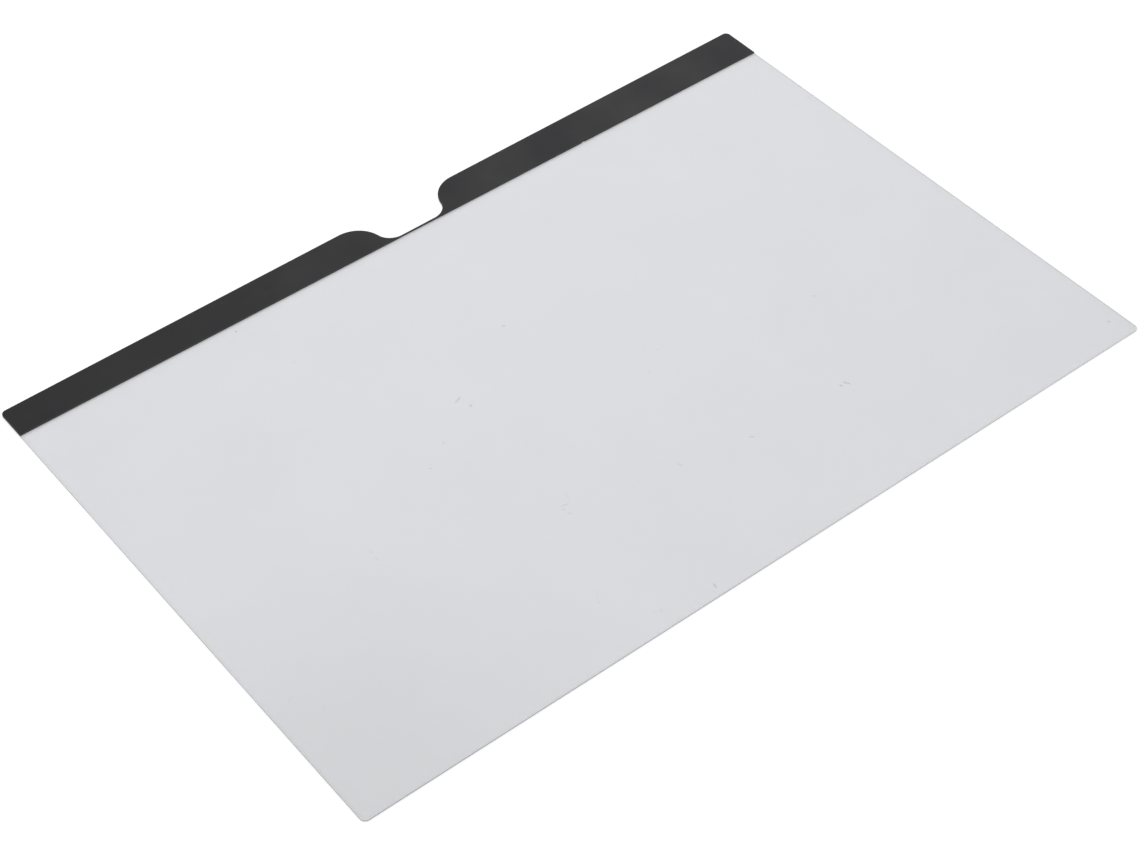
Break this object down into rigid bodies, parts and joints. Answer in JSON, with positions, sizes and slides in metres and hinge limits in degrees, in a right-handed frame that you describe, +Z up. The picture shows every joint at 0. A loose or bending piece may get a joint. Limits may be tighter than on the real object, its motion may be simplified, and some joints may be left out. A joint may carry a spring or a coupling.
{
  "type": "laptop blue light filter",
  "caption": "Thin matte see-through sheet that covers a laptop screen, with a black magnetic strip along one long edge and a rounded notch there for the camera.",
  "frame": {"origin": "on the surface that the sheet lies on, under the middle of its outline", "axes": "+X along the sheet's long edges, to the right for someone who faces the screen, +Y towards the edge with the strip and the notch, +Z up, out of the strip's face"},
  "size_m": [0.298, 0.202, 0.001],
  "materials": {
    "film": "translucent polyester film with a fine matte anti-glare face",
    "adhesive": "clear transfer adhesive",
    "strip": "flexible magnet sheet with a smooth matte black face"
  },
  "bodies": {
    "root": {"filter_film": "film", "strip_adhesive": "adhesive", "magnet_strip": "strip"}
  },
  "joints": []
}
